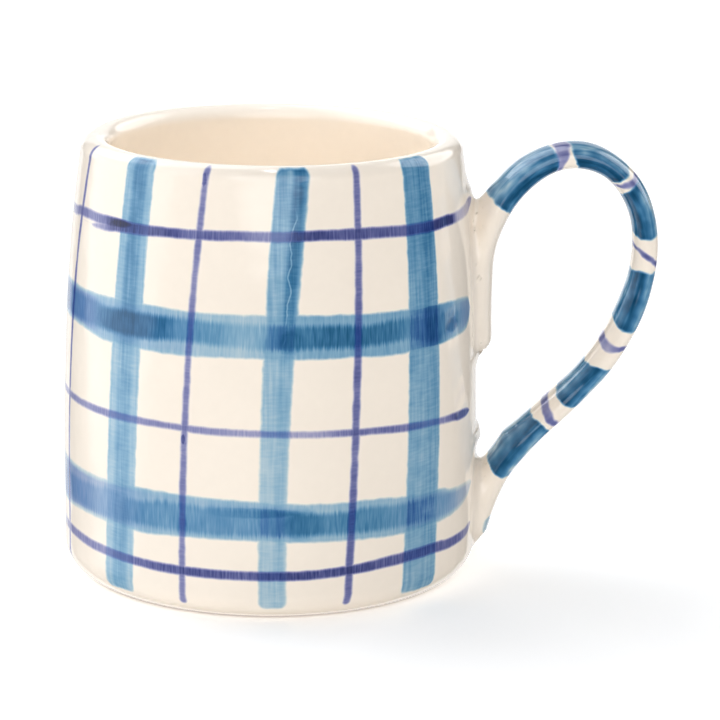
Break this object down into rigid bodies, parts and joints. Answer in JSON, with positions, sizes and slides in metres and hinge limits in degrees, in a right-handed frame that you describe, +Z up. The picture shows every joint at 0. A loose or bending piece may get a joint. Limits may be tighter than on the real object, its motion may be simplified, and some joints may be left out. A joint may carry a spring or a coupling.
{
  "type": "mug",
  "caption": "Stoneware mug with a hand-painted blue plaid under clear glaze, drawn in towards the rim, with a looped strap handle pressed on with slip.",
  "frame": {"origin": "on the table plane, under the middle of the whole mug's length and width, handle included", "axes": "+X from the cup towards the handle, +Y across the mug, +Z up from the foot to the lip"},
  "size_m": [0.1286, 0.09, 0.0953],
  "materials": {
    "cup_glaze": "gloss",
    "handle_glaze": "gloss",
    "slip": "satin"
  },
  "bodies": {
    "root": {"cup_body": "cup_glaze", "handle": "handle_glaze", "upper_slip_joint": "slip", "lower_slip_joint": "slip"}
  },
  "joints": []
}
